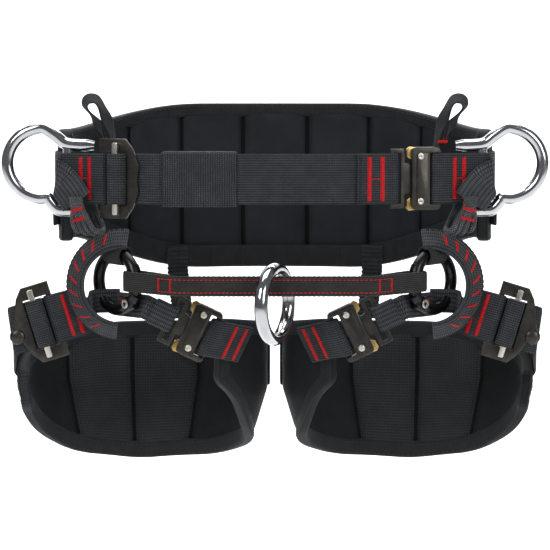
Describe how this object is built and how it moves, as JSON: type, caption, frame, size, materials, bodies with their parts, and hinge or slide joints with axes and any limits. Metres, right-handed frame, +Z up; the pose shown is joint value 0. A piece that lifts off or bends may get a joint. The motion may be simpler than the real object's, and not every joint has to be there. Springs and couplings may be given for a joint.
{
  "type": "tree climbing saddle",
  "caption": "Padded work belt and leg pads joined by webbing, with side D-rings, openable rings, a webbing bridge with a sliding ring, strap adjusters and quick-release buckles.",
  "frame": {"origin": "centre of the waist opening, at the middle height of the belt webbing", "axes": "+Z up, -Y the wearer's front, +X across to the side of the quick-release buckle"},
  "size_m": [0.4924, 0.2983, 0.3499],
  "materials": {
    "pad_fabric": "matte",
    "webbing": "woven",
    "cord": "braided",
    "polished": "polished",
    "anodised": "black anodised",
    "gunmetal": "satin",
    "nickel": "satin",
    "brass": "satin",
    "plastic": "matte"
  },
  "bodies": {
    "saddle": {"back_pad": "pad_fabric", "belt_tab_left": "webbing", "belt_tab_right": "webbing", "d_sling_left": "webbing", "d_sling_right": "webbing", "front_strap": "webbing", "gear_loop_band": "webbing", "link_cord_left": "cord", "link_cord_right": "cord", "openable_ring_left": "anodised", "openable_ring_right": "anodised", "outer_tab_left": "webbing", "outer_tab_right": "webbing", "ring_strap_left": "webbing", "ring_strap_right": "webbing", "riser_left": "webbing", "riser_right": "webbing", "sleeve_left": "webbing", "sleeve_right": "webbing", "top_loop_left": "webbing", "top_loop_right": "webbing", "waist_adjuster_frame": "gunmetal", "waist_belt": "webbing", "waist_buckle_body": "gunmetal", "waist_buckle_rivet_lower": "nickel", "waist_buckle_rivet_upper": "nickel"},
    "waist_adjuster_bar": {"waist_adjuster_bar": "nickel"},
    "waist_tongue": {"waist_buckle_tongue": "gunmetal", "waist_tongue_strap": "webbing"},
    "waist_latch_upper": {"waist_buckle_latch_upper": "brass"},
    "waist_latch_lower": {"waist_buckle_latch_lower": "brass"},
    "waist_keeper": {"waist_keeper": "webbing"},
    "bridge": {"bridge_webbing": "webbing"},
    "bridge_ring": {"bridge_ring": "polished"},
    "d_ring_left": {"d_ring_left": "polished"},
    "ring_screw_left": {"ring_screw_left": "nickel"},
    "leg_left": {"leg_pad_left": "pad_fabric", "leg_strap_left": "webbing", "inner_tab_left": "webbing", "leg_adjuster_left_frame": "gunmetal", "leg_buckle_left_body": "gunmetal"},
    "leg_adjuster_left_bar": {"leg_adjuster_left_bar": "nickel"},
    "leg_tongue_left": {"leg_buckle_left_tongue": "gunmetal", "leg_tongue_strap_left": "webbing"},
    "leg_latch_left_upper": {"leg_buckle_left_latch_upper": "brass"},
    "leg_latch_left_lower": {"leg_buckle_left_latch_lower": "brass"},
    "riser_slider_left": {"riser_slider_left": "plastic"},
    "d_ring_right": {"d_ring_right": "polished"},
    "ring_screw_right": {"ring_screw_right": "nickel"},
    "leg_right": {"leg_pad_right": "pad_fabric", "leg_strap_right": "webbing", "inner_tab_right": "webbing", "leg_adjuster_right_frame": "gunmetal", "leg_buckle_right_body": "gunmetal"},
    "leg_adjuster_right_bar": {"leg_adjuster_right_bar": "nickel"},
    "leg_tongue_right": {"leg_buckle_right_tongue": "gunmetal", "leg_tongue_strap_right": "webbing"},
    "leg_latch_right_upper": {"leg_buckle_right_latch_upper": "brass"},
    "leg_latch_right_lower": {"leg_buckle_right_latch_lower": "brass"},
    "riser_slider_right": {"riser_slider_right": "plastic"}
  },
  "joints": [
    {"name": "waist_adjuster_bar_slide", "type": "slide", "parent": "saddle", "child": "waist_adjuster_bar", "axis": [0.9223, -0.3864, 0], "range_m": [-0.0014, 0.0014]},
    {"name": "waist_tongue_slide", "type": "slide", "parent": "saddle", "child": "waist_tongue", "axis": [-0.9743, -0.2254, 0], "range_m": [0, 0.0135]},
    {"name": "waist_latch_upper_press", "type": "hinge", "parent": "saddle", "child": "waist_latch_upper", "pos_m": [0.12879, -0.08523, 0.02], "axis": [0.2254, -0.9743, 0], "range_deg": [0, 8], "stiffness_Nm_per_rad": 0.02},
    {"name": "waist_latch_lower_press", "type": "hinge", "parent": "saddle", "child": "waist_latch_lower", "pos_m": [0.12879, -0.08523, -0.02], "axis": [-0.2254, 0.9743, 0], "range_deg": [0, 8], "stiffness_Nm_per_rad": 0.02},
    {"name": "waist_keeper_slide", "type": "slide", "parent": "saddle", "child": "waist_keeper", "axis": [1, 0, 0], "range_m": [0, 0.08]},
    {"name": "bridge_swing", "type": "hinge", "parent": "saddle", "child": "bridge", "pos_m": [0, -0.07603, -0.093], "axis": [1, 0, 0], "range_deg": [-50, 15], "deforming": ["bridge_webbing"]},
    {"name": "bridge_ring_slide", "type": "slide", "parent": "bridge", "child": "bridge_ring", "axis": [1, 0, 0], "range_m": [-0.065, 0.065]},
    {"name": "d_ring_left_turn", "type": "hinge", "parent": "saddle", "child": "d_ring_left", "pos_m": [-0.186, -0.072, 0], "axis": [0, 0, 1], "range_deg": [-35, 35], "deforming": ["d_sling_left", "link_cord_left"]},
    {"name": "ring_screw_left_out", "type": "slide", "parent": "saddle", "child": "ring_screw_left", "axis": [-0.7071, -0.7071, 0], "range_m": [0, 0.008]},
    {"name": "leg_left_swing", "type": "hinge", "parent": "saddle", "child": "leg_left", "pos_m": [-0.125, -0.058, -0.128], "axis": [1, 0, 0], "range_deg": [-15, 8], "deforming": ["riser_left", "ring_strap_left", "outer_tab_left"]},
    {"name": "leg_adjuster_left_bar_slide", "type": "slide", "parent": "leg_left", "child": "leg_adjuster_left_bar", "axis": [-0.9563, 0, -0.2924], "range_m": [-0.0014, 0.0014]},
    {"name": "leg_tongue_left_slide", "type": "slide", "parent": "leg_left", "child": "leg_tongue_left", "axis": [-0.9026, 0, 0.4305], "range_m": [0, 0.011], "deforming": ["ring_strap_left"]},
    {"name": "leg_latch_left_upper_press", "type": "hinge", "parent": "leg_left", "child": "leg_latch_left_upper", "pos_m": [-0.06568, -0.0785, -0.12205], "axis": [0, -1, 0], "range_deg": [0, 8], "stiffness_Nm_per_rad": 0.02},
    {"name": "leg_latch_left_lower_press", "type": "hinge", "parent": "leg_left", "child": "leg_latch_left_lower", "pos_m": [-0.07988, -0.0785, -0.15184], "axis": [0, 1, 0], "range_deg": [0, 8], "stiffness_Nm_per_rad": 0.02},
    {"name": "riser_slider_left_slide", "type": "slide", "parent": "saddle", "child": "riser_slider_left", "axis": [0.1113, -0.3743, -0.9206], "range_m": [-0.004, 0.008]},
    {"name": "d_ring_right_turn", "type": "hinge", "parent": "saddle", "child": "d_ring_right", "pos_m": [0.186, -0.072, 0], "axis": [0, 0, 1], "range_deg": [-35, 35], "deforming": ["d_sling_right", "link_cord_right"]},
    {"name": "ring_screw_right_out", "type": "slide", "parent": "saddle", "child": "ring_screw_right", "axis": [0.7071, -0.7071, 0], "range_m": [0, 0.008]},
    {"name": "leg_right_swing", "type": "hinge", "parent": "saddle", "child": "leg_right", "pos_m": [0.125, -0.058, -0.128], "axis": [1, 0, 0], "range_deg": [-15, 8], "deforming": ["riser_right", "ring_strap_right", "outer_tab_right"]},
    {"name": "leg_adjuster_right_bar_slide", "type": "slide", "parent": "leg_right", "child": "leg_adjuster_right_bar", "axis": [0.9563, 0, -0.2924], "range_m": [-0.0014, 0.0014]},
    {"name": "leg_tongue_right_slide", "type": "slide", "parent": "leg_right", "child": "leg_tongue_right", "axis": [0.9026, 0, 0.4305], "range_m": [0, 0.011], "deforming": ["ring_strap_right"]},
    {"name": "leg_latch_right_upper_press", "type": "hinge", "parent": "leg_right", "child": "leg_latch_right_upper", "pos_m": [0.06568, -0.0785, -0.12205], "axis": [0, 1, 0], "range_deg": [0, 8], "stiffness_Nm_per_rad": 0.02},
    {"name": "leg_latch_right_lower_press", "type": "hinge", "parent": "leg_right", "child": "leg_latch_right_lower", "pos_m": [0.07988, -0.0785, -0.15184], "axis": [0, -1, 0], "range_deg": [0, 8], "stiffness_Nm_per_rad": 0.02},
    {"name": "riser_slider_right_slide", "type": "slide", "parent": "saddle", "child": "riser_slider_right", "axis": [-0.1113, -0.3743, -0.9206], "range_m": [-0.004, 0.008]}
  ]
}
